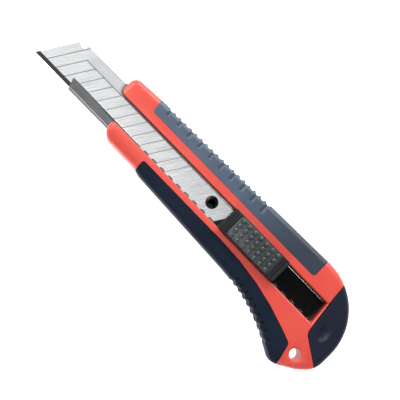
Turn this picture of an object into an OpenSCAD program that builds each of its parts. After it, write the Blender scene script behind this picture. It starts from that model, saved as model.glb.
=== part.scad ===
// Utility knife with a snap-off blade that an auto-lock slider carries along a steel channel.
//
// Knife coordinates, in mm: x runs from the front end of the channel to the butt, y from the
// channel's centreline to the spine, and z from the flat back to the front face. place() then
// moves the knife so that its box is centred on the origin in x and y.

/* [Blade] */
// Width of the blade, cutting edge to spine
blade_w = 18; // [17.6:0.1:18.2]
// Thickness of the blade
blade_t = 0.5; // [0.4:0.05:0.6]
// Length of the cutting edge, tip to tail
blade_edge = 100.8; // [98:0.2:102]
// How far the tip stands out of the channel
blade_out = 17.4; // [12:0.2:20]
// Distance between score lines
score_pitch = 5.18; // [4.8:0.02:5.6]
// Number of score lines
score_count = 14; // [8:1:14]

/* [Channel] */
// Outer width of the steel channel
channel_w = 20; // [19.8:0.1:20]
// Sheet thickness of the channel
sheet_t = 0.6; // [0.5:0.05:0.6]
// Gap between the two lips
lip_gap = 9.1; // [8.8:0.1:9.4]
// Distance between lock notches
notch_pitch = 4.865; // [4.6:0.005:4.9]
// Number of teeth between the notches
tooth_count = 21; // [10:1:21]

/* [Casing] */
// Thickness of the closed casing
casing_h = 14; // [13.6:0.1:14.4]
// Thickness of the rubber grips over the casing
skin_t = 1.4; // [1.2:0.1:1.6]
// Width of the slot in the front face
slot_w = 10.7; // [10.4:0.1:10.8]
// Radius of the lanyard bore
lanyard_r = 2.6; // [2:0.1:2.9]

/* [Grips] */
// Distance between the ribs on the spine grip
spine_rib_pitch = 3.12; // [2.9:0.02:3.2]
// Number of grooves between the spine ribs
spine_groove_count = 19; // [9:2:19]
// Number of grooves between the belly ribs
belly_groove_count = 9; // [5:1:9]

/* [Slider] */
// Length of the thumb button
button_l = 32.2; // [31:0.2:33]
// Width of the thumb button's head
button_w = 11; // [10.4:0.1:11.2]
// Diameter of a bump on the button's pad
bump_d = 2; // [1.4:0.1:2.2]
// Radius of the peg that holds the blade
peg_r = 2.65; // [2.4:0.05:2.68]

/* [Hidden] */
$fn = 48;

// Levels in z
parting_z = 7.15;
channel_z = 7.2;
channel_h = 3.7;
blade_z = 9.4;
lip_z = channel_z + channel_h;
carrier_z = 7.85;
head_z = casing_h + 1;
pad_z = head_z + 2;

// Places along the knife
butt_x = 160.5;
spine_y = 17.95;
tail_y = -28.1;
mid_x = (butt_x - blade_out) / 2;
mid_y = (spine_y + tail_y) / 2;
slot_end_x = 142.8;
slot_end_lean = 4.9;
slot_end_slope = 20;
slot_y = -0.15;
blade_y = 0.3;
hole_x = 79.65;
button_x = 88.4;
channel_end_x = slot_end_x;
lanyard = [149.1, -19.4];
slant = 59.3;
slant_run = blade_w / tan(slant);
first_tooth_x = 45.5;

// The carrier's plate and the pocket for the button's neck
carrier_x = [78, 120.9];
carrier_y = [-8.3, 8.5];
pocket_x = [97.8, 114.2];
neck_x = [98, 114];
neck_y = 4;
spring_z = 8.3;

// The pad in the button's head, with its bumps
pad_x = button_x + 4.4;
pad_l = 23.8;
pad_w = 10;
pad_h = 0.75;
pad_seat = 0.5;
bump_x = 1.87;
bump_pitch = [3.34, 2.62];

// The tray for spare blades and the tunnel that it slides in
tray_x = [36.4, 149.5];
tray_y = 9.4;
tray_z = [2.35, 6.85];
tray_wall = 0.5;
tray_floor = 0.75;
lid_x = [98, 140];
tunnel_x = [36, 150];
tunnel_y = 9.7;
tunnel_floor = 2;

// The hollow behind the cap's face and the thumb hollow in its cover
cap_hollow_z = [8.4, 11.2];
thumb_hollow = [151.3, -4.4];
thumb_hollow_r = 5.6;
thumb_hollow_l = 4.4;

// Gaps between pieces
cap_gap = 0.35;
screw_gap = 0.1;
head_gap = 0.15;
tongue_gap = 0.05;
peg_gap = 0.1;
button_gap = 0.5;
// How far a cut runs past the face that it opens
past = 1;

// Outline of the closed knife body, anticlockwise, as corners [x, y, radius]
body_corners = [
    [26.2, -12.7, 5.5],
    [46.4, -12.85, 4],
    [50.4, -13.8, 4],
    [122.4, -16.63, 80],
    [144.4, -29.3, 5.7],
    [154, -23.5, 12.6],
    [159.9, -18.1, 9.8],
    [160.4, 18.9, 26.8],
    [36.6, 15.5, 80],
    [19.5, 14.35, 3.6],
    [19.5, 5, 3.4],
    [26.2, -5, 3]
];

// Seams of the grips and of the end cap, as corners that run past the outline
spine_seam = [[33.2, 24, 0], [35.2, 8.9, 1.6], [131.7, 8.9, 1.6], [131.3, 24, 0]];
belly_seam = [
    [47, -8.1, 1.2], [49.3, -30, 0], [145.3, -36, 0], [146.2, -27, 0],
    [144, -18, 2.4], [116.6, -8.2, 130]
];
cap_seam = [
    [142.4, 26, 0], [143.7, 9, 60], [146.2, -9.6, 4], [163, -20.8, 0], [166, 26, 0]
];

// How the body's edge rounds over as a quarter of an ellipse, [height, inset]. The last step goes
// past the face, and the halves and the cap are cut flat at the back and at the front face.
edge_h = 2.6;
edge_run = 2.5;
edge_curve = [
    for (a = [0:16:80]) [edge_h * (1 - sin(a)), edge_run * (1 - cos(a))],
    [-0.15, edge_run]
];
edge_steps = [
    for (i = [len(edge_curve) - 1:-1:0]) edge_curve[i],
    for (s = edge_curve) [casing_h - s[0], s[1]]
];

// Screws from the back: [x, y]
screws = [[28.8, 12.1], [137.2, 13.2], [133.4, -12.6]];
screw_r = 1.1;
screw_head_r = 1.9;
screw_head_h = 1.4;
screw_z = [1.2, 10.6];
post_r = 2.8;

spine_grooves = [for (i = [0:spine_groove_count - 1]) 40.6 + i * spine_rib_pitch];

// Centre line of the ribbed stretch of the belly
function belly_y(x) = -16.55 - 0.07 * (x - 108) - 0.0083 * pow(x - 108, 2);
function belly_lean(x) = atan(-0.07 - 0.0166 * (x - 108));
belly_grooves = [for (i = [0:belly_groove_count - 1]) 109.7 + i * 3.28];

function unit(v) = v / norm(v);
function flat(v) = [v[0], v[1]];
function turn(a, b) = a[0] * b[1] - a[1] * b[0];

// Points of the arc that rounds corner b between its neighbours a and c
function arc_at(a, b, c, r) =
    let (
        u = unit(a - b),
        w = unit(c - b),
        half = acos(u * w) / 2,
        centre = b + unit(u + w) * r / sin(half),
        start = b + u * r / tan(half) - centre,
        way = turn(b - a, c - b) > 0 ? 1 : -1,
        sweep = 180 - 2 * half,
        steps = max(2, ceil(sweep / (r > 20 ? 5 : 12)))
    )
    [for (i = [0:steps]) let (t = way * sweep * i / steps)
        centre + [start[0] * cos(t) - start[1] * sin(t), start[0] * sin(t) + start[1] * cos(t)]];

function rounded(v) =
    let (n = len(v))
    [for (i = [0:n - 1]) let (a = v[(i + n - 1) % n], b = v[i], c = v[(i + 1) % n])
        each b[2] == 0 ? [flat(b)] : arc_at(flat(a), flat(b), flat(c), b[2])];

// An outline with every side moved inwards by d
function inset(p, d) =
    let (n = len(p))
    [for (i = [0:n - 1])
        let (
            u = unit(p[i] - p[(i + n - 1) % n]),
            w = unit(p[(i + 1) % n] - p[i]),
            along = unit(u + w),
            inward = [-along[1], along[0]]
        )
        p[i] + inward * d / (along * u)];

body_outline = rounded(body_corners);

module place() translate([-mid_x, -mid_y, 0]) children();

module prism(points, z0, z1) translate([0, 0, z0]) linear_extrude(z1 - z0) polygon(points);

module block(x0, x1, y0, y1, z0, z1)
    translate([x0, y0, z0]) cube([x1 - x0, y1 - y0, z1 - z0]);

// A slab wider than the whole knife
module around(z0, z1) block(0, 170, -40, 30, z0, z1);

// The whole closed body with its rounded edges
module body() {
    n = len(body_outline);
    k = len(edge_steps);
    polyhedron(
        points = [for (s = edge_steps) each [for (p = inset(body_outline, s[1])) [p[0], p[1], s[0]]]],
        faces = [
            [for (i = [0:n - 1]) i],
            [for (i = [n - 1:-1:0]) (k - 1) * n + i],
            for (j = [0:k - 2]) for (i = [0:n - 1]) each [
                [j * n + i, (j + 1) * n + i, j * n + (i + 1) % n],
                [j * n + (i + 1) % n, (j + 1) * n + i, (j + 1) * n + (i + 1) % n]
            ]
        ]
    );
}

module half_body(front) {
    intersection() {
        body();
        if (front) around(parting_z, casing_h);
        else around(0, parting_z);
    }
}

// The hard casing under the rubber
module under_skin() prism(inset(body_outline, skin_t), skin_t, casing_h - skin_t);

module grip_space(seam) {
    difference() {
        prism(rounded(seam), -past, casing_h + past);
        under_skin();
    }
}

module cap_space() prism(rounded(cap_seam), -past, casing_h + past);

module lanyard_bore()
    translate([lanyard[0], lanyard[1], -past]) cylinder(r = lanyard_r, h = casing_h + 2 * past);

// Hollow in the pistol-shaped end of the belly, around the screw posts
module belly_hollow(z0, z1) {
    difference() {
        prism([
            [106, -11.8], [113, -13.8], [126, -17.2], [136, -21.6], [141, -23.6], [143, -21], [143, -11.8]
        ], z0, z1);
        for (s = screws) translate([s[0], s[1], z0 - past]) cylinder(r = post_r, h = z1 - z0 + 2 * past);
    }
}

module spine_groove_cuts() {
    for (i = [0:spine_groove_count - 1]) {
        x = spine_grooves[i];
        edge_y = 15.45 + 0.0234 * (x - 36.6);
        translate([x, edge_y + 0.35, -1]) cylinder(r = 1.2, h = casing_h + 2);
        if (i % 2 == 0) for (z = [-0.6, casing_h + 0.6])
            translate([x, 11.8, z]) rotate([-90, 0, 0]) cylinder(r = 1.1, h = 6);
    }
}

module belly_groove_cuts() {
    for (x = belly_grooves) translate([x, belly_y(x), 0]) rotate([0, 0, belly_lean(x)]) {
        translate([0, -0.45, -1]) cylinder(r = 1.3, h = casing_h + 2);
        for (z = [-0.5, casing_h + 0.5]) translate([0, -2, z]) rotate([-90, 0, 0]) cylinder(r = 1.1, h = 4.6);
    }
}

module rear_casing() {
    place() color("tomato") difference() {
        half_body(false);
        grip_space(spine_seam);
        grip_space(belly_seam);
        cap_space();
        // tunnel for the spare blade tray, open at the butt
        block(tunnel_x[0], tunnel_x[1], -tunnel_y, tunnel_y, tunnel_floor, parting_z + past);
        belly_hollow(1.8, parting_z + past);
        lanyard_bore();
        for (s = screws) translate([s[0], s[1], -past]) {
            cylinder(r = screw_r + screw_gap, h = casing_h);
            cylinder(r = screw_head_r + head_gap, h = screw_z[0] + screw_head_h + past);
        }
    }
}

module front_casing() {
    slot_low = slot_y - slot_w / 2;
    slot_high = slot_y + slot_w / 2;
    mouth_r = [3, 2];
    place() color("tomato") difference() {
        half_body(true);
        grip_space(spine_seam);
        grip_space(belly_seam);
        cap_space();
        // space for the channel
        block(
            10, channel_end_x + 0.4,
            -channel_w / 2 - 0.05, channel_w / 2 + 0.05,
            parting_z - past, lip_z + 0.05
        );
        // slot for the slider, with a rounded mouth and an end that leans and slopes
        prism([
            [10, slot_low],
            [slot_end_x + slot_w * tan(slot_end_lean), slot_low],
            [slot_end_x, slot_high],
            [10, slot_high]
        ], lip_z, casing_h + past);
        intersection() {
            block(130, 150, slot_low, slot_high, lip_z, casing_h + past);
            translate([slot_end_x, slot_high, lip_z]) rotate([0, slot_end_slope, slot_end_lean])
                translate([-10, -20, 0]) cube([10, 30, 10]);
        }
        translate([19.4, slot_high - 0.01, lip_z]) linear_extrude(5) difference() {
            square(mouth_r[0]);
            translate([mouth_r[0], mouth_r[0]]) circle(r = mouth_r[0]);
        }
        translate([26.1, slot_low + 0.01 - mouth_r[1], lip_z]) linear_extrude(5) difference() {
            square(mouth_r[1]);
            translate([mouth_r[1], 0]) circle(r = mouth_r[1]);
        }
        belly_hollow(parting_z - past, 12.2);
        lanyard_bore();
        for (s = screws) translate([s[0], s[1], parting_z - past])
            cylinder(r = screw_r + screw_gap / 2, h = 5);
    }
}

module guide_channel() {
    w = channel_w / 2;
    notch_r = 1.3;
    outer_r = 1.3;
    inner_r = outer_r - sheet_t;
    place() color("silver") difference() {
        translate([0, 0, channel_z]) rotate([90, 0, 90]) linear_extrude(channel_end_x) difference() {
            union() {
                for (y = [-1, 1]) for (z = [outer_r, channel_h - outer_r])
                    translate([y * (w - outer_r), z]) circle(r = outer_r);
                translate([outer_r - w, 0]) square([channel_w - 2 * outer_r, channel_h]);
                translate([-w, outer_r]) square([channel_w, channel_h - 2 * outer_r]);
            }
            for (y = [-1, 1]) for (z = [outer_r, channel_h - outer_r])
                translate([y * (w - outer_r), z]) circle(r = inner_r);
            translate([outer_r - w, sheet_t]) square([channel_w - 2 * outer_r, channel_h - 2 * sheet_t]);
            translate([sheet_t - w, outer_r]) square([channel_w - 2 * sheet_t, channel_h - 2 * outer_r]);
            translate([-lip_gap / 2, channel_h / 2]) square([lip_gap, channel_h]);
        }
        // slanted front ends of the two lips and the floor between them
        prism([[-1, 12], [4.2, 12], [0, 4.6], [0, -3], [1.6, -4.6], [4.4, -12], [-1, -12]], 0, 20);
        // lock notches along the lower lip
        for (i = [0:tooth_count - 1])
            translate([first_tooth_x + (i - 0.5) * notch_pitch, 0.1 - lip_gap / 2, blade_z + 0.4])
                cylinder(r = notch_r, h = 2);
        // window in the floor over the tray
        block(100, 150, -5.6, 5.6, channel_z - past, channel_z + past);
    }
}

module casing_screws() {
    place() color("dimgray") for (s = screws) translate([s[0], s[1], 0]) difference() {
        union() {
            translate([0, 0, screw_z[0]]) cylinder(r = screw_head_r, h = screw_head_h);
            translate([0, 0, screw_z[0] + screw_head_h])
                cylinder(r = screw_r, h = screw_z[1] - screw_z[0] - screw_head_h);
        }
        // cross recess
        for (a = [0, 90]) rotate([0, 0, a]) translate([-1.1, -0.25, 0]) cube([2.2, 0.5, 2]);
    }
}

module spine_grip(front) {
    difference() {
        half_body(front);
        difference() {
            around(-2 * past, casing_h + 2 * past);
            grip_space(spine_seam);
        }
        spine_groove_cuts();
    }
}

module belly_grip(front) {
    difference() {
        half_body(front);
        difference() {
            around(-2 * past, casing_h + 2 * past);
            grip_space(belly_seam);
        }
        belly_groove_cuts();
        if (!front) for (s = screws) translate([s[0], s[1], -past])
            cylinder(r = screw_head_r + head_gap, h = 4);
    }
}

module front_spine_grip() place() color("slategray") spine_grip(true);
module rear_spine_grip() place() color("slategray") spine_grip(false);
module front_belly_grip() place() color("midnightblue") belly_grip(true);
module rear_belly_grip() place() color("midnightblue") belly_grip(false);

module blade() {
    y0 = blade_y - blade_w / 2;
    y1 = blade_y + blade_w / 2;
    tip_x = -blade_out;
    bevel = 1.75;
    place() color("gainsboro") difference() {
        intersection() {
            // cross-section with the ground edge
            translate([tip_x, 0, blade_z]) rotate([90, 0, 90]) linear_extrude(blade_edge + slant_run)
                polygon([
                    [y0, blade_t / 2 - 0.03], [y0 + bevel, 0], [y1, 0],
                    [y1, blade_t], [y0 + bevel, blade_t], [y0, blade_t / 2 + 0.03]
                ]);
            // plan: slanted ends and a chipped corner at the front of the spine
            prism([
                [tip_x, y0],
                [tip_x + blade_edge, y0],
                [tip_x + blade_edge + slant_run, y1],
                [-3.9, y1],
                [-3.9, y1 - 2],
                [-5.6, y1 - 2.35],
                [tip_x + (blade_w - 1.4) / tan(slant), y1 - 1.4]
            ], blade_z - 1, blade_z + 1);
        }
        for (i = [0:score_count - 1])
            translate([tip_x + 4.5 + i * score_pitch, y0, blade_z + blade_t - 0.1])
                rotate([0, 0, slant]) translate([-1, -0.08, 0]) cube([blade_w * 1.3, 0.16, 1]);
        translate([hole_x, 0.45, blade_z - 1]) cylinder(r = peg_r + peg_gap, h = 2);
    }
}

module blade_carrier() {
    tail_x = -blade_out + blade_edge + 0.4;
    y0 = carrier_y[0];
    y1 = carrier_y[1];
    plate_h = blade_z - 0.05 - carrier_z;
    nose_r = (y1 - y0) / 2;
    place() color("#1b1b1d") difference() {
        union() {
            // plate under the blade, with a round nose
            block(carrier_x[0], carrier_x[1], y0, y1, carrier_z, carrier_z + plate_h);
            translate([carrier_x[0], (y0 + y1) / 2, carrier_z]) intersection() {
                cylinder(r = nose_r, h = plate_h);
                translate([-6, -nose_r - 1, 0]) cube([7, 2 * nose_r + 2, 5]);
            }
            // block behind the blade's tail, under the lips
            prism([
                [tail_x, y0],
                [carrier_x[1], y0],
                [carrier_x[1], y1],
                [tail_x + (y1 - y0) / tan(slant), y1]
            ], carrier_z, lip_z - sheet_t - 0.15);
        }
        // pocket for the button's neck and the spring
        block(pocket_x[0], pocket_x[1], -neck_y - 0.1, neck_y + 0.1, spring_z, 12);
        // side pocket for the lock tooth
        block(104, 108.4, -7, -neck_y, spring_z, 12);
    }
}

module blade_peg() {
    place() color("#141416") translate([hole_x, 0.45, blade_z - 0.05]) difference() {
        union() {
            cylinder(r = peg_r, h = 1.1);
            translate([0, 0, 1.1]) cylinder(r1 = peg_r, r2 = peg_r - 0.7, h = 0.4);
        }
        translate([0, 0, 0.95]) cylinder(r1 = 0.5, r2 = 1.2, h = 1);
    }
}

module lock_spring() {
    leaf_t = 0.25;
    bow = 0.5;
    arm_z = spring_z + bow;
    place() color("darkgray") {
        // bowed leaf under the neck
        translate([0, 3, spring_z]) rotate([90, 0, 0]) linear_extrude(6.4) polygon([
            [neck_x[0], 0], [101, 0], [104, bow], [108, bow], [111, 0], [neck_x[1], 0],
            [neck_x[1], leaf_t], [111, leaf_t], [108, bow + leaf_t], [104, bow + leaf_t],
            [101, leaf_t], [neck_x[0], leaf_t]
        ]);
        // arm to the lower lip with the tooth that stands up in a notch
        block(105, 107.4, -6.6, -3.35, arm_z, arm_z + leaf_t);
        block(105.4, 107, -5.3, -4.9, arm_z + leaf_t, lip_z - 0.1);
    }
}

module button_outline(l, w, r) {
    for (x = [r, l - r]) for (y = [r - w / 2, w / 2 - r]) translate([x, y]) circle(r = r);
    translate([r, -w / 2]) square([l - 2 * r, w]);
    translate([0, r - w / 2]) square([l, w - 2 * r]);
}

module thumb_button() {
    body_z = 11.8;
    ridge_w = 0.7;
    ridge_h = 0.45;
    ridge_y = 5;
    place() color("#4a4c50") difference() {
        union() {
            translate([button_x, 0, head_z]) linear_extrude(pad_z - head_z)
                button_outline(button_l, button_w, 1);
            // ridges across both ends
            for (x = [0.5, 1.7, 2.9, button_l - 4.1, button_l - 2.9])
                block(button_x + x, button_x + x + ridge_w, -ridge_y, ridge_y, pad_z, pad_z + ridge_h);
            block(
                button_x + button_l - 1.7, button_x + button_l - 0.3,
                -ridge_y, ridge_y, pad_z, pad_z + 2 * ridge_h
            );
            // body in the slot
            translate([button_x + button_gap, slot_y, body_z]) linear_extrude(head_z - body_z)
                button_outline(button_l - 2 * button_gap, slot_w - button_gap, 0.8);
            // neck between the lips, down to the spring
            block(neck_x[0], neck_x[1], -neck_y, neck_y, 9.15, body_z);
        }
        // seat for the pad
        translate([pad_x, 0, pad_z - pad_seat]) linear_extrude(2) button_outline(pad_l, pad_w, 0.5);
    }
}

module button_pad() {
    sunk = 0.4;
    place() color("#45474b") translate([pad_x, 0, pad_z - pad_seat]) {
        linear_extrude(pad_h) button_outline(pad_l, pad_w, 0.5);
        for (i = [0:6]) for (j = [-1.5:1.5])
            translate([bump_x + i * bump_pitch[0], j * bump_pitch[1], pad_h]) intersection() {
                translate([0, 0, -sunk]) sphere(r = sqrt(pow(bump_d / 2, 2) + pow(sunk, 2)));
                cylinder(r = bump_d, h = bump_d);
            }
    }
}

// The cap's outer volume, kept clear of the casing
module cap_body(inner) {
    intersection() {
        body();
        prism(rounded([for (c = cap_seam) [c[0] + cap_gap, c[1], c[2]]]), 0, casing_h);
        if (inner) under_skin();
    }
}

module end_cap() {
    place() color("#202328") difference() {
        cap_body(true);
        // hollow behind the face
        prism(
            rounded([[147.8, 10, 1], [148.6, -8.6, 1], [156.6, -14, 1], [156.6, -2, 2]]),
            cap_hollow_z[0], cap_hollow_z[1]
        );
        // socket for the tray's tongue
        block(
            140, tray_x[1] + 0.2, -tray_y - tongue_gap, tray_y + tongue_gap,
            tray_z[0] - tongue_gap, tray_z[1] + tongue_gap
        );
    }
}

module end_cap_cover() {
    place() color("#232a38") difference() {
        cap_body(false);
        under_skin();
        // oval thumb hollow
        translate([thumb_hollow[0], thumb_hollow[1], casing_h + thumb_hollow_r - 0.4]) rotate([90, 0, 12])
            translate([0, 0, -thumb_hollow_l / 2]) cylinder(r = thumb_hollow_r, h = thumb_hollow_l);
    }
}

module blade_tray() {
    well_y = tray_y - tray_wall;
    place() color("#17181b") difference() {
        block(tray_x[0], tray_x[1], -tray_y, tray_y, tray_z[0], tray_z[1]);
        // well for spare blades, open upwards
        block(tray_x[0] + 0.8, lid_x[1], -well_y, well_y, tray_z[0] + tray_floor, 8);
    }
}

// Lid over the rear of the tray, the dark floor seen behind the slider
module tray_lid() {
    lid_y = tray_y - tray_wall - tongue_gap;
    lid_t = 0.95;
    place() color("#17181b") difference() {
        union() {
            block(lid_x[0], lid_x[1], -lid_y, lid_y, tray_z[1] - lid_t, tray_z[1]);
            prism([[141.2, -5.4], [145, -5.4], [145, 5.4], [139.8, 5.4]], tray_z[1], tray_z[1] + 0.2);
        }
        // finger notch at the front edge
        translate([lid_x[0], 0, 5]) cylinder(r = 3, h = 3);
    }
}

rear_casing();
front_casing();
guide_channel();
casing_screws();
front_spine_grip();
rear_spine_grip();
front_belly_grip();
rear_belly_grip();
blade();
blade_carrier();
blade_peg();
lock_spring();
thumb_button();
button_pad();
end_cap();
end_cap_cover();
blade_tray();
tray_lid();
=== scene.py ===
# %% [markdown]
# # A snap-off utility knife
# The knife is a pocket tool: two red plastic halves hold a steel channel, and a thumb slider
# carries a snap-off blade along it. Soft rubber grips cover the edges and a cap closes the butt.
# Its pieces were designed as CAD solids first. This lesson loads them as a fixed frame, keeps their
# size and place, and gives each one the shape and finish of the real thing.

# %% Load the imported knife
import math
import bmesh
import bpy
from mathutils import Matrix, Vector


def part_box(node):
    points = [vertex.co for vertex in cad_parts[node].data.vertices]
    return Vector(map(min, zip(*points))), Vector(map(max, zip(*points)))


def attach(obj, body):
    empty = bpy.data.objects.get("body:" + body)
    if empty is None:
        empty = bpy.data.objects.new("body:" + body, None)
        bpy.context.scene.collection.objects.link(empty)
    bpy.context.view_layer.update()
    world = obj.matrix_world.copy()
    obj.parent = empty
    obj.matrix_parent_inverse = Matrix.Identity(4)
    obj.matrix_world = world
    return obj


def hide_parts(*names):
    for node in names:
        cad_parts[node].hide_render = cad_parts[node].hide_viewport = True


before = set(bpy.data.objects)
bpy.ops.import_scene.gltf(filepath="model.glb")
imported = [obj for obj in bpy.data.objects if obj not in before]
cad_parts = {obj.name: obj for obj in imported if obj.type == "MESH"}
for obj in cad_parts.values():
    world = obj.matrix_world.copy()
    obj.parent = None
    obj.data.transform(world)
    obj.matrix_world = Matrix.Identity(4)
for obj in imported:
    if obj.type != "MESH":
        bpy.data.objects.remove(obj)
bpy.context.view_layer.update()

# %% [markdown]
# ## The camera
# A product shot looks almost straight down at a knife that lies on its back. A long lens, about
# three times the width of the frame, keeps the sides nearly parallel. The camera stands a little
# below the knife in the view and is rolled, so that the blade points to the upper left. Three
# vectors make the turn: the way ahead, the way across the frame, and their cross product.

# %% Place the camera
MM = 0.001
camera_place = Vector((2.4, -42.5, 460)) * MM
camera_aim = Vector((3.9, 2.6, 10)) * MM
camera_roll = math.radians(45.9)
ahead = (camera_aim - camera_place).normalized()
across = Vector((math.cos(camera_roll), math.sin(camera_roll), 0))
across = (across - ahead * across.dot(ahead)).normalized()
upward = across.cross(ahead)

lens = bpy.data.cameras.new("product_camera")
lens.sensor_width = 36
lens.lens = 96.8
lens.clip_start = 0.01
camera = bpy.data.objects.new("product_camera", lens)
turn = Matrix((across, upward, -ahead)).transposed().to_4x4()
camera.matrix_world = Matrix.Translation(camera_place) @ turn
bpy.context.scene.collection.objects.link(camera)
bpy.context.scene.camera = camera
print("camera", [round(v, 3) for v in camera_place], "lens", lens.lens)

# %% [markdown]
# ## One colour helper and one node helper
# Colours are given as sRGB hex values, but shaders mix light in linear values, so one function converts
# them. A second function adds a node to any tree: it sets the node's own settings, gives constants to
# its inputs and links what is handed to it as a socket. It serves materials and Geometry Nodes alike,
# which keeps every tree short enough to read.

# %% Helpers for colours and nodes
def to_linear(hex_colour):
    parts = [int(hex_colour[i:i + 2], 16) / 255 for i in (0, 2, 4)]
    return tuple(c / 12.92 if c <= 0.04045 else ((c + 0.055) / 1.055) ** 2.4 for c in parts)


def add(tree, kind, settings=None, inputs=None):
    node = tree.nodes.new(kind)
    for key, value in (settings or {}).items():
        setattr(node, key, value)
    for key, value in (inputs or {}).items():
        socket = node.inputs[key]
        if isinstance(value, bpy.types.NodeSocket):
            tree.links.new(value, socket)
        else:
            socket.default_value = value
    return node


# %% [markdown]
# ## Floor, world and lights
# The knife lies on a back-lit sheet of white acrylic, the usual table for a product on pure
# white, so light also comes up through the lanyard hole. Flat steel mirrors what hangs straight
# above it, so the overhead softbox is weak: it sets how bright the blade looks, and it stops
# short of the butt, so that the rear rubber stays dark. The strong lights stand low at the sides,
# where they light the plastics without a haze on the rubber, and draw the long highlights along
# the rounded edges. The room is dim at its walls and nearly black overhead, which gives the
# tilted lower lip of the channel its charcoal tone.

# %% Build the stage
def softbox(name, place, aim, size, power, colour="FFFFFF"):
    light = bpy.data.lights.new(name, "AREA")
    light.shape = "RECTANGLE"
    light.size, light.size_y = size
    light.energy = power
    light.color = to_linear(colour)
    box = bpy.data.objects.new(name, light)
    box.location = place
    box.rotation_euler = (Vector(aim) - Vector(place)).to_track_quat("-Z", "Y").to_euler()
    bpy.context.scene.collection.objects.link(box)
    return box


softbox("softbox_overhead", (-0.2, 0.05, 1.3), (-0.2, 0.05, 0), (0.64, 0.48), 1.15)
softbox("softbox_blade_end", (-0.9, 0.2, 0.75), (0, 0, 0), (0.5, 0.5), 7)
softbox("softbox_spine_side", (-0.2, 0.95, 0.7), (0, 0, 0), (0.9, 0.4), 10)
softbox("softbox_belly_side", (0.35, -0.9, 0.7), (0, 0, 0), (0.7, 0.4), 3.4)

WALL_TOP, CEILING = 0.55, 0.93
WALL_LIGHT, CEILING_LIGHT = 0.42, 0.02
world = bpy.data.worlds.new("studio_air")
world.use_nodes = True
sky = world.node_tree
direction = add(sky, "ShaderNodeTexCoord").outputs["Generated"]
rise = add(sky, "ShaderNodeSeparateXYZ", None, {0: direction})
dusk = add(sky, "ShaderNodeMapRange", {"interpolation_type": "SMOOTHSTEP"},
           {"Value": rise.outputs["Z"], "From Min": WALL_TOP, "From Max": CEILING,
            "To Min": WALL_LIGHT, "To Max": CEILING_LIGHT})
room = add(sky, "ShaderNodeCombineColor", None, {i: dusk.outputs["Result"] for i in range(3)})
sky.links.new(room.outputs[0], sky.nodes["Background"].inputs["Color"])
bpy.context.scene.world = world
bpy.context.scene.view_settings.view_transform = "Standard"

floor_mesh = bpy.data.meshes.new("table_top")
floor_mesh.from_pydata([(-3, -3, 0), (3, -3, 0), (3, 3, 0), (-3, 3, 0)], [], [(0, 1, 2, 3)])
floor = bpy.data.objects.new("table_top", floor_mesh)
bpy.context.scene.collection.objects.link(floor)

table_paint = bpy.data.materials.new("table_back_lit_white_acrylic")
table_paint.use_nodes = True
table_shader = table_paint.node_tree.nodes["Principled BSDF"]
table_shader.inputs["Base Color"].default_value = (*to_linear("F7F7F6"), 1)
table_shader.inputs["Roughness"].default_value = 0.9
table_shader.inputs["Emission Color"].default_value = (1, 1, 1, 1)
table_shader.inputs["Emission Strength"].default_value = 1.1
floor_mesh.materials.append(table_paint)

# %% [markdown]
# ## Moulded plastics and rubbers
# The casing is moulded ABS, the grips are a soft rubber (TPR) moulded over it, and the slider, the tray
# and the inner cap are acetal or ABS in black. All of them copy the skin of a steel mould, so one
# recipe serves: a base colour that drifts a little over centimetres, a fine grain from the spark-eroded
# mould as bump, and a roughness that the same drift moves. What changes is the gloss, the grain's size
# in millimetres and how deep it is. A second function paints shade into the colour: it darkens any spot
# that its neighbours close in, so seams, grooves and corners get painted shade.

# %% A recipe for anything that comes out of a mould
CREVICE_SHADE_REACH = 0.8 * MM
DRIFT_SIZE = 18 * MM


def painted_crevice_shade(tree, colour, reach, darkest, closed=0.35, open_=0.88):
    """Paints shade: multiplies a colour down to darkest where nearby surfaces close a spot in."""
    air = add(tree, "ShaderNodeAmbientOcclusion", {"samples": 8}, {"Distance": reach}).outputs["AO"]
    crevice_shade_factor = add(tree, "ShaderNodeMapRange", None,
                {"Value": air, "From Min": closed, "From Max": open_, "To Min": darkest, "To Max": 1.0})
    return add(tree, "ShaderNodeMix", {"data_type": "RGBA", "blend_type": "MULTIPLY"},
               {"Factor": 1.0, 6: colour, 7: crevice_shade_factor.outputs["Result"]}).outputs[2]


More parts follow.
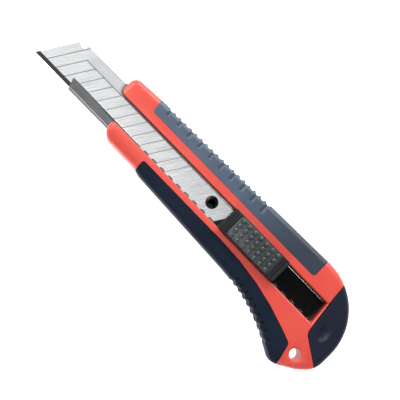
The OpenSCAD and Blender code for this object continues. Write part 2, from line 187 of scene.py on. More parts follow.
def moulded(name, colour, shade, roughness, grain_mm, depth_mm,
            crevice_shade=0.6, reach=CREVICE_SHADE_REACH, span=(0.35, 0.88), **shader_values):
    """colour drifts to shade; grain_mm is the size of a grain; crevice_shade paints shade into seams
    and grooves.
    """
    material = bpy.data.materials.new(name)
    material.use_nodes = True
    tree = material.node_tree
    shader = tree.nodes["Principled BSDF"]
    for key, value in shader_values.items():
        shader.inputs[key.replace("_", " ").title().replace("Ior", "IOR")].default_value = value
    where = add(tree, "ShaderNodeTexCoord").outputs["Object"]
    drift = add(tree, "ShaderNodeTexNoise", None,
                {"Vector": where, "Scale": 1 / DRIFT_SIZE, "Detail": 3.0})
    grain = add(tree, "ShaderNodeTexNoise", None,
                {"Vector": where, "Scale": 1 / (grain_mm * MM), "Detail": 2.0, "Roughness": 0.6})
    tone = add(tree, "ShaderNodeMapRange", None,
               {"Value": drift.outputs["Fac"], "From Min": 0.3, "From Max": 0.7})
    speck = add(tree, "ShaderNodeMath", {"operation": "MULTIPLY_ADD"},
                {0: grain.outputs["Fac"], 1: 0.5, 2: tone.outputs["Result"]})
    mix = add(tree, "ShaderNodeMix", {"data_type": "RGBA"},
              {"Factor": speck.outputs["Value"], 6: (*to_linear(colour), 1), 7: (*to_linear(shade), 1)})
    # painted shade: seams, grooves and corners are darkened in the base colour
    base = painted_crevice_shade(tree, mix.outputs[2], reach, 1 - crevice_shade, *span)
    gloss = add(tree, "ShaderNodeMapRange", None,
                {"Value": drift.outputs["Fac"], "From Min": 0.3, "From Max": 0.7,
                 "To Min": roughness * 0.9, "To Max": roughness * 1.12})
    bump = add(tree, "ShaderNodeBump", None,
               {"Height": grain.outputs["Fac"], "Strength": 1.0, "Distance": depth_mm * MM})
    tree.links.new(base, shader.inputs["Base Color"])
    tree.links.new(gloss.outputs["Result"], shader.inputs["Roughness"])
    tree.links.new(bump.outputs["Normal"], shader.inputs["Normal"])
    return material


# %% [markdown]
# The casing's red sits between coral and signal red and has a half gloss, so its flat faces
# stay clean while the rounded edges catch a line of light. Rubber is softer to the eye: a broad,
# weak highlight and a fine matt grain. Real grains are 0.05 to 0.1 mm and would vanish at this
# distance, so they are drawn about three times as coarse.

# %% The plastics of this knife
# crevice_shade and its reach set how dark the painted shade in seams and grooves gets
coral_abs = moulded("casing_coral_abs_semi_gloss", "E9584A", "E44F43", 0.36, 0.35, 0.003,
                    crevice_shade=0.97, reach=0.45 * MM, span=(0.5, 0.93), ior=1.53)
slate_rubber = moulded("spine_grip_slate_tpr_satin", "5B6A7C", "515F72", 0.42, 0.3, 0.01,
                       crevice_shade=0.97, reach=1.0 * MM, span=(0.55, 0.96), specular_ior_level=0.5)
navy_rubber = moulded("belly_grip_navy_tpr_satin", "222A3B", "1B2230", 0.55, 0.3, 0.012,
                      crevice_shade=0.97, reach=1.0 * MM, span=(0.55, 0.96), specular_ior_level=0.05)
cap_rubber = moulded("end_cap_navy_tpr_satin", "23283A", "1C2130", 0.4, 0.3, 0.012,
                     specular_ior_level=0.25)
black_acetal = moulded("slider_black_acetal_fine_matt", "101012", "0B0B0D", 0.36, 0.25, 0.006,
                       specular_ior_level=0.4)
tray_plastic = moulded("tray_black_polystyrene_moulded", "08080A", "060607", 0.4, 0.4, 0.008,
                       specular_ior_level=0.25)
button_plastic = moulded("button_charcoal_abs_textured", "2B2E32", "222529", 0.42, 0.28, 0.02,
                         specular_ior_level=0.4)
pad_rubber = moulded("button_pad_charcoal_tpr", "4E5456", "43494B", 0.28, 0.25, 0.008,
                     crevice_shade=0.97, span=(0.45, 0.97), specular_ior_level=0.6)
print("plastics:", [m.name for m in bpy.data.materials if "_abs" in m.name or "_tpr" in m.name])

# %% [markdown]
# ### Painted light on the spine grip and painted shade in the slot
# The spine grip carries painted light: it falls from slate at the blade's end to near navy at the butt,
# lighter at the front and darkened by painted shade towards the butt. The slot's walls get painted
# shade: they turn to a deep red as they go down. Both are one colour mixed over the base by a factor
# that is built from the Object coordinates.

# %% Paint light on the spine grip and shade on the slot's walls
CASING_TOP = 14 * MM
SLOT_MIDDLE, SLOT_HALF = 4.925 * MM, 5.6 * MM
WALL_SHADE_START, WALL_SHADE_FULL = 0.3 * MM, 2.2 * MM
SHEEN_FADE_START, SHEEN_FADE_END = 5 * MM, 52 * MM


def tinted(material, tint, amount):
    """Mixes a tint over the base colour; amount builds the factor from the Object coordinates."""
    tree = material.node_tree
    base = tree.nodes["Principled BSDF"].inputs["Base Color"]
    where = add(tree, "ShaderNodeTexCoord").outputs["Object"]
    axes = add(tree, "ShaderNodeSeparateXYZ", None, {0: where})
    mix = add(tree, "ShaderNodeMix", {"data_type": "RGBA"},
              {"Factor": amount(tree, axes.outputs), 6: base.links[0].from_socket,
               7: (*to_linear(tint), 1)})
    tree.links.new(mix.outputs[2], base)


def sheen_fading_to_butt(tree, axes):
    fall = add(tree, "ShaderNodeMapRange", {"interpolation_type": "SMOOTHSTEP"},
               {"Value": axes["X"], "From Min": SHEEN_FADE_START, "From Max": SHEEN_FADE_END, "To Max": 0.9})
    return fall.outputs["Result"]


def slot_wall_shade(tree, axes):
    off = add(tree, "ShaderNodeMath", {"operation": "SUBTRACT"}, {0: axes["Y"], 1: SLOT_MIDDLE})
    side = add(tree, "ShaderNodeMath", {"operation": "ABSOLUTE"}, {0: off.outputs[0]})
    within = add(tree, "ShaderNodeMath", {"operation": "LESS_THAN"},
                 {0: side.outputs[0], 1: SLOT_HALF + 0.4 * MM})
    depth = add(tree, "ShaderNodeMapRange", None,
                {"Value": axes["Z"], "From Min": CASING_TOP - WALL_SHADE_START,
                 "From Max": CASING_TOP - WALL_SHADE_FULL, "To Max": within.outputs[0]})
    return depth.outputs["Result"]


# painted light: slate at the blade's end, painted shade towards the butt
tinted(slate_rubber, "2E3646", sheen_fading_to_butt)
# painted shade: the slot's walls darken to deep red as they go down
tinted(coral_abs, "4A0F0D", slot_wall_shade)
print("tinted:", slate_rubber.name, "and", coral_abs.name)

# %% [markdown]
# ## Steels
# The channel is folded from bright plated strip, the blade is ground across its width, and the
# spring is plain rolled strip. Ground and rolled steels carry hair-fine lines in one direction.
# A noise stretched about forty times along that direction gives them, as small changes in
# roughness, in tint and in height. Metals keep the default IOR: their base colour is their
# reflection.

# %% A recipe for steel with a grain direction
CLOUD_SIZE = 12 * MM


def grained_steel(name, colour, shade, roughness, line_mm, angle_deg, depth_mm, stretch=40):
    material = bpy.data.materials.new(name)
    material.use_nodes = True
    tree = material.node_tree
    shader = tree.nodes["Principled BSDF"]
    shader.inputs["Metallic"].default_value = 1.0
    where = add(tree, "ShaderNodeTexCoord").outputs["Object"]
    turned = add(tree, "ShaderNodeMapping", {"vector_type": "TEXTURE"},
                 {"Vector": where, "Rotation": (0, 0, math.radians(angle_deg)),
                  "Scale": (stretch, 1, 1)})
    lines = add(tree, "ShaderNodeTexNoise", None,
                {"Vector": turned.outputs["Vector"], "Scale": 1 / (line_mm * MM), "Detail": 3.0})
    clouds = add(tree, "ShaderNodeTexNoise", None,
                 {"Vector": where, "Scale": 1 / CLOUD_SIZE, "Detail": 2.0})
    both = add(tree, "ShaderNodeMath", {"operation": "MULTIPLY_ADD"},
               {0: clouds.outputs["Fac"], 1: 0.4, 2: lines.outputs["Fac"]})
    tone = add(tree, "ShaderNodeMapRange", None,
               {"Value": both.outputs["Value"], "From Min": 0.45, "From Max": 0.95})
    mix = add(tree, "ShaderNodeMix", {"data_type": "RGBA"},
              {"Factor": tone.outputs["Result"], 6: (*to_linear(colour), 1), 7: (*to_linear(shade), 1)})
    gloss = add(tree, "ShaderNodeMapRange", None,
                {"Value": lines.outputs["Fac"], "From Min": 0.3, "From Max": 0.7,
                 "To Min": roughness * 0.8, "To Max": roughness * 1.25})
    bump = add(tree, "ShaderNodeBump", None,
               {"Height": lines.outputs["Fac"], "Strength": 1.0, "Distance": depth_mm * MM})
    tree.links.new(mix.outputs[2], shader.inputs["Base Color"])
    tree.links.new(gloss.outputs["Result"], shader.inputs["Roughness"])
    tree.links.new(bump.outputs["Normal"], shader.inputs["Normal"])
    return material, tree, mix.outputs[2]


channel_steel, tree, steel_tone = grained_steel(
    "channel_bright_plated_strip", "D2D4D6", "C4C6C9", 0.17, 0.25, 0, 0.0002)
spring_steel = grained_steel("spring_rolled_steel", "9A9CA0", "85878B", 0.3, 0.15, 0, 0.001)[0]
screw_steel = grained_steel("screw_black_zinc_plated", "5B5D61", "4A4C50", 0.35, 0.2, 20, 0.001)[0]
print("steels:", channel_steel.name, spring_steel.name, screw_steel.name)

# %% [markdown]
# ### Painted shade on the channel
# Where the casing covers the channel's upper lip, painted shade darkens it nearly to black, for the
# shade under the casing's wall. Only the half of the channel beyond its centre line is darkened, so the
# lower lip stays bright.

# %% Paint shade on the upper lip under the casing
CHANNEL_MIDDLE = 5 * MM
UPPER_LIP_SHADE_REACH = 2.2 * MM
# painted shade: the upper lip turns nearly black where the casing closes it in
upper_lip_shade = painted_crevice_shade(tree, steel_tone, UPPER_LIP_SHADE_REACH, 0.03, closed=0.62, open_=0.94)
where = add(tree, "ShaderNodeTexCoord").outputs["Object"]
axes = add(tree, "ShaderNodeSeparateXYZ", None, {0: where})
upper_half = add(tree, "ShaderNodeMath", {"operation": "GREATER_THAN"},
                 {0: axes.outputs["Y"], 1: CHANNEL_MIDDLE})
half_lip_shade = add(tree, "ShaderNodeMix", {"data_type": "RGBA"},
                 {"Factor": upper_half.outputs[0], 6: steel_tone, 7: upper_lip_shade})
tree.links.new(half_lip_shade.outputs[2], tree.nodes["Principled BSDF"].inputs["Base Color"])
print("painted shade reaches", UPPER_LIP_SHADE_REACH / MM, "mm from the casing")

# %% [markdown]
# ### The blade's steel
# The blade is the same kind of steel with three more marks, all drawn on its own coordinates. Score
# lines cross it at 59 degrees every 5.2 mm and are painted as thin grey hairs, a painted reflection of
# the dark side of the room in a groove's walls. They are 0.16 mm wide in the solid and drawn 0.4 mm
# wide here, or they would vanish, and they grow fainter away from the tip. The cutting edge has a steep
# ground band, painted darker as a painted reflection of the side of the room instead of the softbox. A
# thin dark line of painted shade runs along the channel's lips, where they press on the blade.

# %% Ground blade steel with score lines and an edge band
blade_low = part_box("blade")[0]
SLANT = math.radians(59.3)
SCORE_PITCH = 5.18 * MM
FIRST_SCORE = 4.5 * MM
SCORE_COUNT = 14
SCORE_WIDTH = 0.4 * MM
SCORE_HALF = SCORE_WIDTH / SCORE_PITCH / 2
EDGE_BAND = 1.75 * MM
LIP_SHADE = 0.6 * MM

blade_steel, tree, steel_tone = grained_steel(
    "blade_ground_carbon_steel", "F2F3F4", "E6E8EA", 0.27, 0.3, 59.3, 0.0005)
shader = tree.nodes["Principled BSDF"]
where = add(tree, "ShaderNodeTexCoord").outputs["Object"]
axes = add(tree, "ShaderNodeSeparateXYZ", None, {0: where})
height = add(tree, "ShaderNodeMath", {"operation": "SUBTRACT"}, {0: axes.outputs["Y"], 1: blade_low.y})
foot = add(tree, "ShaderNodeMath", {"operation": "MULTIPLY_ADD"},
           {0: height.outputs[0], 1: -1 / math.tan(SLANT), 2: axes.outputs["X"]})
count = add(tree, "ShaderNodeMath", {"operation": "MULTIPLY_ADD"},
            {0: foot.outputs[0], 1: 1 / SCORE_PITCH,
             2: 0.5 - (blade_low.x + FIRST_SCORE) / SCORE_PITCH})
along = add(tree, "ShaderNodeMath", {"operation": "FRACT"}, {0: count.outputs[0]})
off = add(tree, "ShaderNodeMath", {"operation": "SUBTRACT"}, {0: along.outputs[0], 1: 0.5})
away = add(tree, "ShaderNodeMath", {"operation": "ABSOLUTE"}, {0: off.outputs[0]})
last = add(tree, "ShaderNodeMath", {"operation": "LESS_THAN"}, {0: count.outputs[0], 1: SCORE_COUNT})
fainter_to_rear = add(tree, "ShaderNodeMapRange", None,
           {"Value": axes.outputs["X"], "From Min": blade_low.x, "From Max": 0,
            "To Min": 1.0, "To Max": 0.45})
drawn = add(tree, "ShaderNodeMath", {"operation": "MULTIPLY"},
            {0: last.outputs[0], 1: fainter_to_rear.outputs["Result"]})
score = add(tree, "ShaderNodeMapRange", None,
            {"Value": away.outputs[0], "From Min": SCORE_HALF * 1.3, "From Max": SCORE_HALF * 0.5,
             "To Max": drawn.outputs[0]})
band = add(tree, "ShaderNodeMapRange", None,
           {"Value": height.outputs[0], "From Min": EDGE_BAND * 1.03, "From Max": EDGE_BAND * 0.97})
# painted reflection: grey score lines, and a darker band along the cutting edge
scored = add(tree, "ShaderNodeMix", {"data_type": "RGBA"},
             {"Factor": score.outputs["Result"], 6: steel_tone, 7: (*to_linear("8E9093"), 1)})
banded = add(tree, "ShaderNodeMix", {"data_type": "RGBA"},
             {"Factor": band.outputs["Result"], 6: scored.outputs[2], 7: (*to_linear("5E6064"), 1)})
# painted shade: a thin dark line on the blade beside the channel's lips
lip_shade_on_blade = painted_crevice_shade(tree, banded.outputs[2], LIP_SHADE, 0.05, closed=0.5, open_=0.8)
tree.links.new(lip_shade_on_blade, shader.inputs["Base Color"])
print("score lines every", round(SCORE_PITCH / MM, 2), "mm, the first at", FIRST_SCORE / MM, "mm")

# %% [markdown]
# ## Hard pieces from their solids
# The casing halves, the channel, the blade and the slider have the right shape already. Their
# solids arrive as loose triangles with knife-sharp edges. A copy is welded, flat areas are
# dissolved into single faces, and its edges are rounded by a small bevel, because neither a
# mould nor a press leaves a sharp edge. A few edges that the eye goes to get a wider round first:
# the slot's rim, the lanyard hole's rim and the free edge of the upper lip.

# %% Rounds wider than the rest, and the pin's dimple
def round_over(work, chosen, offset_mm, steps, shortest_mm=5.0):
    """Rounds the longer edges whose two ends both pass the test, on a welded mesh."""
    edges = [e for e in work.edges if all(chosen(v.co) for v in e.verts) and len(e.link_faces) == 2
             and e.calc_face_angle(0) > 0.5 and e.calc_length() > shortest_mm * MM]
    bmesh.ops.bevel(work, geom=edges, offset=offset_mm * MM, segments=steps, profile=0.5,
                    affect="EDGES", clamp_overlap=False)
    return len(edges)


SKIN = 0.05 * MM
SLOT_FRONT = -49.8 * MM
LIP_TOP, LIP_MIDDLE, LIP_HALF = 10.9 * MM, 5.075 * MM, 4.6 * MM
LANYARD, LANYARD_REACH = Vector((77.55, -14.325)) * MM, 3 * MM


def slot_rim(point):
    across_slot = abs(point.y - SLOT_MIDDLE)
    return point.z > CASING_TOP - SKIN and across_slot < SLOT_HALF and point.x > SLOT_FRONT


def lanyard_rim(point):
    return point.z > CASING_TOP - SKIN and (point.xy - LANYARD).length < LANYARD_REACH


def lip_rim(point):
    return point.z > LIP_TOP - SKIN and abs(point.y - LIP_MIDDLE) < LIP_HALF


WIDE_ROUNDS = {
    "front_casing": [(slot_rim, 0.8, 4), (lanyard_rim, 0.8, 4, 0.1)],
    "guide_channel": [(lip_rim, 0.2, 3)],
}


def dimple(work, rim_mm=0.9, slope_mm=0.35, deep_mm=0.3):
    """Sinks the middle of the highest face."""
    top = max(work.faces, key=lambda f: (f.calc_center_median().z, f.calc_area()))
    bmesh.ops.inset_region(work, faces=[top], thickness=rim_mm * MM, depth=0)
    bmesh.ops.inset_region(work, faces=[top], thickness=slope_mm * MM, depth=-deep_mm * MM)
    return deep_mm


print("wide rounds on:", list(WIDE_ROUNDS))

# %% [markdown]
# One function turns a solid into a finished hard piece. It welds the copy, merges flat faces, gives it
# its material and a live bevel, hangs it on the body it rides on and hides the solid it stands for.

# %% Weld, dissolve and round a copy of each hard solid
WELD = 2e-6
FLAT_DEG, EDGE_DEG = 0.6, 32


def piece_from(node, name, body, slot, material, round_mm, sharp_deg=EDGE_DEG, dissolve=True):
    """Makes the finished copy of one solid; a round of 0 leaves the bevel out."""
    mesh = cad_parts[node].data.copy()
    mesh.name = name
    work = bmesh.new()
    work.from_mesh(mesh)
    bmesh.ops.remove_doubles(work, verts=work.verts, dist=WELD)
    bmesh.ops.dissolve_degenerate(work, edges=work.edges, dist=WELD)
    if dissolve:
        bmesh.ops.dissolve_limit(work, angle_limit=math.radians(FLAT_DEG),
                                 verts=work.verts, edges=work.edges)
    if node == "blade_peg":
        print("dimple in the pin,", dimple(work), "mm deep")
    for wide in WIDE_ROUNDS.get(node, []):
        print(name, "wide edges", round_over(work, *wide))
    for face in work.faces:
        face.smooth = True
    work.to_mesh(mesh)
    work.free()
    mesh.set_sharp_from_angle(angle=math.radians(sharp_deg))
    mesh.materials.clear()
    mesh.materials.append(material)
    piece = bpy.data.objects.new(name, mesh)
    bpy.context.scene.collection.objects.link(piece)
    if round_mm:
        bevel = piece.modifiers.new("rounded_edges", "BEVEL")
        bevel.width = round_mm * MM
        bevel.segments = 2
        bevel.limit_method = "ANGLE"
        bevel.angle_limit = math.radians(EDGE_DEG)
        bevel.harden_normals = True
        bevel.use_clamp_overlap = True
    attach(piece, body)
    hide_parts(node)
    print(name, "faces", len(mesh.polygons))
    return piece


HARD_PIECES = [
    ("front_casing", "casing_front_half", "handle", "casing", coral_abs, 0.28),
    ("rear_casing", "casing_rear_half", "handle", "casing", coral_abs, 0.25),
    ("guide_channel", "steel_guide_channel", "handle", "channel_steel", channel_steel, 0.08),
    ("blade", "snap_off_blade", "slider", "blade_steel", blade_steel, 0.0, 3),
    ("blade_carrier", "slider_carrier", "slider", "black_plastic", black_acetal, 0.15),
    ("blade_peg", "blade_pin", "slider", "black_plastic", black_acetal, 0.25),
    ("lock_spring", "lock_leaf_spring", "slider", "spring_steel", spring_steel, 0.03),
    ("thumb_button", "slider_thumb_button", "button", "button_plastic", button_plastic, 0.18),
    ("end_cap", "end_cap_core", "end_cap", "black_plastic", tray_plastic, 0.1),
    ("blade_tray", "spare_blade_tray", "end_cap", "black_plastic", tray_plastic, 0.1),
    ("tray_lid", "spare_blade_tray_lid", "end_cap", "black_plastic", tray_plastic, 0.1),
]
for row in HARD_PIECES:
    piece_from(*row)

# %% [markdown]
# The two lips of the channel don't lie quite flat: folding leaves their free edges a little
# lower than the folds. The tilt is only 0.2 mm each way, but on bright steel it decides whether
# a lip mirrors the softbox or the dark room beside it.

# %% Tilt the lips of the channel
LIP_TILT = math.tan(math.radians(5))
LIP_DEPTH = 1.0 * MM
LIP_PIVOT, LIP_WIDTH = 6.6 * MM, 4.2 * MM
channel = bpy.data.objects["steel_guide_channel"]
channel_low, channel_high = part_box("guide_channel")
centre_y = (channel_low.y + channel_high.y) / 2
for vert in channel.data.vertices:
    if vert.co.z > channel_high.z - LIP_DEPTH:
        vert.co.z += LIP_TILT * (abs(vert.co.y - centre_y) - LIP_PIVOT)
print("lips tilted by", round(LIP_TILT * LIP_WIDTH / 2 / MM, 2), "mm each way")

# %% [markdown]
# ## Rubber grips
# Rubber is moulded over the casing and has no crisp edge anywhere: ribs, grooves and seams all
# end in a soft lip. Rebuilding a copy of each grip from small cubes (a voxel remesh) gives an
# even skin of quads, and a few rounds of smoothing then melt every edge by the same amount.

# %% Remesh and relax the grips and the cap's cover
VOXEL = 0.2 * MM
MELT_ROUNDS = 3


def as_plain_mesh(piece):
    """The mesh that the piece's modifiers give, on its own."""
    return bpy.data.meshes.new_from_object(
        piece.evaluated_get(bpy.context.evaluated_depsgraph_get()))


def soft_piece(node, name, body, slot, material):
    piece = piece_from(node, name, body, slot, material, 0, dissolve=False)
    piece.parent = None
    remesh = piece.modifiers.new("even_skin", "REMESH")
    remesh.mode = "VOXEL"
    remesh.voxel_size = VOXEL
    remesh.use_smooth_shade = True
    relax = piece.modifiers.new("melted_edges", "SMOOTH")
    relax.factor = 0.5
    relax.iterations = MELT_ROUNDS
    made = as_plain_mesh(piece)
    piece.modifiers.clear()
    piece.data = made
    made.materials.clear()
    made.materials.append(material)
    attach(piece, body)
    print(name, "quads", len(made.polygons))
    return piece


SOFT_PIECES = [
    ("front_spine_grip", "spine_grip_front", "handle", "spine_rubber", slate_rubber),
    ("rear_spine_grip", "spine_grip_rear", "handle", "spine_rubber", slate_rubber),
    ("front_belly_grip", "belly_grip_front", "handle", "belly_rubber", navy_rubber),
    ("rear_belly_grip", "belly_grip_rear", "handle", "belly_rubber", navy_rubber),
    ("end_cap_cover", "end_cap_rubber_cover", "end_cap", "belly_rubber", cap_rubber),
]
for row in SOFT_PIECES:
    soft_piece(*row)

# %% [markdown]
# The cap's cover has an oval hollow for the thumb that helps to pull it off. Its floor is a
# shallow bowl, so the skin's own points are lowered by a smooth curve that is deepest in the
# middle and runs out at the rim of the oval.

# %% Sink the thumb hollow
HOLLOW_LONG, HOLLOW_WIDE, HOLLOW_DEEP = 4.6 * MM, 2.6 * MM, 1.1 * MM
HOLLOW_TURN = math.radians(12)
HOLLOW_X, HOLLOW_Y = 79.75 * MM, 0.675 * MM
HOLLOW_SKIN = 0.7 * MM
RIM_FADE = 1.3
cover = bpy.data.objects["end_cap_rubber_cover"]
cover_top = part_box("end_cap_cover")[1].z
for vert in cover.data.vertices:
    if vert.co.z > cover_top - HOLLOW_SKIN:
        away_x, away_y = vert.co.x - HOLLOW_X, vert.co.y - HOLLOW_Y
        wide = (away_x * math.cos(HOLLOW_TURN) + away_y * math.sin(HOLLOW_TURN)) / HOLLOW_WIDE
        long = (away_y * math.cos(HOLLOW_TURN) - away_x * math.sin(HOLLOW_TURN)) / HOLLOW_LONG
        far = wide * wide + long * long
        if far < 1:
            vert.co.z = cover_top - HOLLOW_DEEP * (1 - far) ** RIM_FADE
print("hollow", HOLLOW_DEEP / MM, "mm deep")

# %% [markdown]
# ## The button's pad
# The thumb rests on a soft pad with seven rows of four round bumps. Bumps repeat on a grid, so
# Geometry Nodes make them: a grid gives one point for each bump, and a squashed dome is placed
# on every point, joined to the plate and made real. The sizes are named inputs of the tree.

# %% A Geometry Nodes tree for a plate with bumps
def tree_with_inputs(name, sockets):
    tree = bpy.data.node_groups.new(name, "GeometryNodeTree")
    tree.interface.new_socket("Geometry", in_out="INPUT", socket_type="NodeSocketGeometry")
    for label, kind in sockets:
        tree.interface.new_socket(label, in_out="INPUT", socket_type=kind)
    tree.interface.new_socket("Geometry", in_out="OUTPUT", socket_type="NodeSocketGeometry")
    return tree, add(tree, "NodeGroupInput").outputs


def run_tree(piece, tree, values):
    """Runs the tree on the piece, keeps the result as its plain mesh and removes the modifier."""
    modifier = piece.modifiers.new(tree.name, "NODES")
    modifier.node_group = tree
    for item in tree.interface.items_tree:
        if item.in_out == "INPUT" and item.name in values:
            modifier[item.identifier] = values[item.name]
    made = as_plain_mesh(piece)
    piece.modifiers.remove(modifier)
    piece.data = made


FLOAT, INT = "NodeSocketFloat", "NodeSocketInt"
bump_tree, given = tree_with_inputs("pad_bumps", [
    ("Columns", INT), ("Rows", INT), ("Column Pitch", FLOAT), ("Row Pitch", FLOAT),
    ("First Bump", "NodeSocketVector"), ("Bump Diameter", FLOAT), ("Bump Height", FLOAT),
    ("Material", "NodeSocketMaterial")])
spans = []
for number, pitch in (("Columns", "Column Pitch"), ("Rows", "Row Pitch")):
    gaps = add(bump_tree, "ShaderNodeMath", {"operation": "SUBTRACT"}, {0: given[number], 1: 1.0})
    spans.append(add(bump_tree, "ShaderNodeMath", {"operation": "MULTIPLY"},
                     {0: gaps.outputs[0], 1: given[pitch]}).outputs[0])
grid = add(bump_tree, "GeometryNodeMeshGrid", None,
           {"Size X": spans[0], "Size Y": spans[1],
            "Vertices X": given["Columns"], "Vertices Y": given["Rows"]})
halves = add(bump_tree, "ShaderNodeCombineXYZ", None, {"X": spans[0], "Y": spans[1]})
corner = add(bump_tree, "ShaderNodeVectorMath", {"operation": "MULTIPLY_ADD"},
             {0: halves.outputs[0], 1: (0.5, 0.5, 0.5), 2: given["First Bump"]})
spots = add(bump_tree, "GeometryNodeTransform", None,
            {"Geometry": grid.outputs["Mesh"], "Translation": corner.outputs[0]})
radius = add(bump_tree, "ShaderNodeMath", {"operation": "MULTIPLY"},
             {0: given["Bump Diameter"], 1: 0.5})
ball = add(bump_tree, "GeometryNodeMeshUVSphere", None,
           {"Segments": 20, "Rings": 12, "Radius": radius.outputs[0]})
flatness = add(bump_tree, "ShaderNodeMath", {"operation": "DIVIDE"},
               {0: given["Bump Height"], 1: radius.outputs[0]})
squash = add(bump_tree, "ShaderNodeCombineXYZ", None,
             {"X": 1.0, "Y": 1.0, "Z": flatness.outputs[0]})
dome = add(bump_tree, "GeometryNodeTransform", None,
           {"Geometry": ball.outputs["Mesh"], "Scale": squash.outputs[0]})
placed = add(bump_tree, "GeometryNodeInstanceOnPoints", None,
             {"Points": spots.outputs[0], "Instance": dome.outputs[0]})
real = add(bump_tree, "GeometryNodeRealizeInstances", None, {0: placed.outputs[0]})
shaded = add(bump_tree, "GeometryNodeSetShadeSmooth", None, {0: real.outputs[0]})
joined = add(bump_tree, "GeometryNodeJoinGeometry", None, {0: given["Geometry"]})
bump_tree.links.new(shaded.outputs[0], joined.inputs[0])
coated = add(bump_tree, "GeometryNodeSetMaterial", None,
             {"Geometry": joined.outputs[0], "Material": given["Material"]})
add(bump_tree, "NodeGroupOutput", None, {0: coated.outputs[0]})
print("bump tree nodes:", len(bump_tree.nodes))

# %% [markdown]
# The plate itself is a thin block with rounded corners. It is drawn as rings of points from the
# seat up, and its upper rim is stepped in twice so that it rounds over.

# %% Make the pad
def rounded_plate(name, low, high, corner_mm, rim_mm, material, arc=6):
    corner_r, rim = corner_mm * MM, rim_mm * MM
    work = bmesh.new()
    rings = []
    for inset, z in [(0, low.z), (0, high.z - rim), (rim * 0.3, high.z - rim * 0.3), (rim, high.z)]:
        ring = []
        for quarter, (sx, sy) in enumerate([(1, 1), (-1, 1), (-1, -1), (1, -1)]):
            cx = (high.x if sx > 0 else low.x) - sx * corner_r
            cy = (high.y if sy > 0 else low.y) - sy * corner_r
            for i in range(arc + 1):
                a = math.pi / 2 * (quarter + i / arc)
                r = corner_r - inset
                ring.append(work.verts.new((cx + r * math.cos(a), cy + r * math.sin(a), z)))
        rings.append(ring)
    for lower, upper in zip(rings, rings[1:]):
        for i in range(len(lower)):
            j = (i + 1) % len(lower)
            work.faces.new((lower[i], lower[j], upper[j], upper[i])).smooth = True
    work.faces.new(list(reversed(rings[0])))
    work.faces.new(rings[-1])
    mesh = bpy.data.meshes.new(name)
    work.to_mesh(mesh)
    work.free()
    mesh.set_sharp_from_angle(angle=math.radians(50))
    mesh.materials.append(material)
    plate = bpy.data.objects.new(name, mesh)
    bpy.context.scene.collection.objects.link(plate)
    return plate


pad_low, pad_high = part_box("button_pad")
COLUMNS, ROWS = 7, 4
COLUMN_PITCH, ROW_PITCH = 3.34 * MM, 2.62 * MM
BUMP_WIDTH, BUMP_HEIGHT = 2.0 * MM, 0.67 * MM
FIRST_COLUMN = 1.87 * MM
plate_top = Vector((pad_high.x, pad_high.y, pad_high.z - BUMP_HEIGHT))
pad = rounded_plate("slider_button_pad", pad_low, plate_top, 0.8, 0.2, pad_rubber)
first_row = (pad_low.y + pad_high.y) / 2 - (ROWS - 1) / 2 * ROW_PITCH
run_tree(pad, bump_tree, {
    "Columns": COLUMNS, "Rows": ROWS, "Column Pitch": COLUMN_PITCH, "Row Pitch": ROW_PITCH,
    "First Bump": (pad_low.x + FIRST_COLUMN, first_row, plate_top.z),
    "Bump Diameter": BUMP_WIDTH, "Bump Height": BUMP_HEIGHT, "Material": pad_rubber})
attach(pad, "button")
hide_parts("button_pad")
print("pad faces:", len(pad.data.polygons))

# %% [markdown]
# ## The screws
# Three screws close the casing from the back. They are alike, so one screw is drawn and
# Geometry Nodes put a copy on each point where the solid has one. The recess and the threads
# are in the looks only.

# %% Draw one screw
HEAD_R, HEAD_H, SHANK_R = 1.9 * MM, 1.4 * MM, 1.1 * MM
THREADS, POINT_LENGTH = 10, 0.8 * MM
RECESS_ARM, RECESS_HALF, RECESS_DEEP = 1.1 * MM, 0.25 * MM, 0.7 * MM
screw_low, screw_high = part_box("casing_screws")


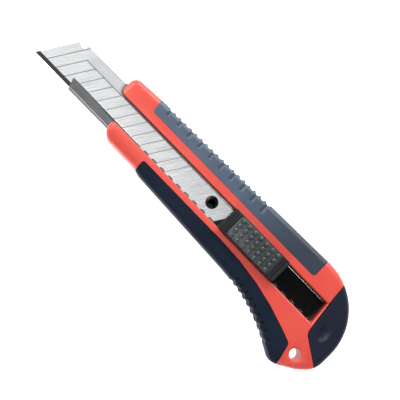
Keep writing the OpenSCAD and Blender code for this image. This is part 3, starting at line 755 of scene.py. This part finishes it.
def screw_mesh(length, sides=24):
    """A pan head with a cross recess in its face, which looks towards -Z, and a ridged shank."""
    work = bmesh.new()
    profile = [(HEAD_R * 0.86, 0), (HEAD_R, 0.3 * MM), (HEAD_R, HEAD_H), (SHANK_R, HEAD_H)]
    for i in range(THREADS):
        z = HEAD_H + (i + 0.5) * (length - HEAD_H - POINT_LENGTH) / THREADS
        profile += [(SHANK_R * 0.8, z), (SHANK_R, z + 0.25 * MM)]
    profile += [(SHANK_R * 0.25, length)]
    turns = [2 * math.pi * i / sides for i in range(sides)]
    rings = [[work.verts.new((r * math.cos(a), r * math.sin(a), z)) for a in turns]
             for r, z in profile]
    for lower, upper in zip(rings, rings[1:]):
        for i in range(sides):
            j = (i + 1) % sides
            work.faces.new((lower[i], lower[j], upper[j], upper[i])).smooth = True
    work.faces.new(rings[-1])
    arm = [(RECESS_ARM, -RECESS_HALF), (RECESS_ARM, RECESS_HALF), (RECESS_HALF, RECESS_HALF)]
    corners = [(x * c - y * s, x * s + y * c)
               for c, s in ((1, 0), (0, 1), (-1, 0), (0, -1)) for x, y in arm]
    rim = [work.verts.new((x, y, 0)) for x, y in corners]
    pit = [work.verts.new((x * 0.8, y * 0.8, RECESS_DEEP)) for x, y in corners]
    for i in range(len(rim)):
        j = (i + 1) % len(rim)
        work.faces.new((rim[j], rim[i], pit[i], pit[j]))
    work.faces.new(list(reversed(pit)))
    edges = [e for e in work.edges
             if len(e.link_faces) == 1 and all(abs(v.co.z) < 1e-7 for v in e.verts)]
    bmesh.ops.triangle_fill(work, use_beauty=True, edges=edges, normal=(0, 0, -1))
    bmesh.ops.recalc_face_normals(work, faces=work.faces)
    mesh = bpy.data.meshes.new("one_screw")
    work.to_mesh(mesh)
    work.free()
    mesh.set_sharp_from_angle(angle=math.radians(35))
    return mesh


one_screw = bpy.data.objects.new("one_screw", screw_mesh(screw_high.z - screw_low.z))
print("screw faces:", len(one_screw.data.polygons))


# %% Put a screw on each place
def screw_places():
    """The centre of each screw, from the separate shells of the solid."""
    work = bmesh.new()
    work.from_mesh(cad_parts["casing_screws"].data)
    heads = [v.co.copy() for v in work.verts if v.co.z < screw_low.z + 0.1 * MM]
    work.free()
    groups = []
    for spot in heads:
        near = [g for g in groups if (g[0] - spot).length < 3 * HEAD_R]
        if near:
            near[0].append(spot)
        else:
            groups.append([spot])
    middles = [[(min(p[k] for p in g) + max(p[k] for p in g)) / 2 for k in (0, 1)] for g in groups]
    return [Vector((x, y, screw_low.z)) for x, y in middles]


screw_tree, given = tree_with_inputs("screws_on_points", [
    ("Screw", "NodeSocketObject"), ("Material", "NodeSocketMaterial")])
shape = add(screw_tree, "GeometryNodeObjectInfo", None, {"Object": given["Screw"]})
placed = add(screw_tree, "GeometryNodeInstanceOnPoints", None,
             {"Points": given["Geometry"], "Instance": shape.outputs["Geometry"]})
real = add(screw_tree, "GeometryNodeRealizeInstances", None, {0: placed.outputs[0]})
coated = add(screw_tree, "GeometryNodeSetMaterial", None,
             {"Geometry": real.outputs[0], "Material": given["Material"]})
add(screw_tree, "NodeGroupOutput", None, {0: coated.outputs[0]})

spots = bpy.data.meshes.new("screw_spots")
spots.from_pydata(screw_places(), [], [])
screws = bpy.data.objects.new("casing_screw_set", spots)
bpy.context.scene.collection.objects.link(screws)
run_tree(screws, screw_tree, {"Screw": one_screw, "Material": screw_steel})
bpy.data.objects.remove(one_screw)
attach(screws, "handle")
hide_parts("casing_screws")
print("screws at", [[round(c / MM, 1) for c in p] for p in screw_places()])
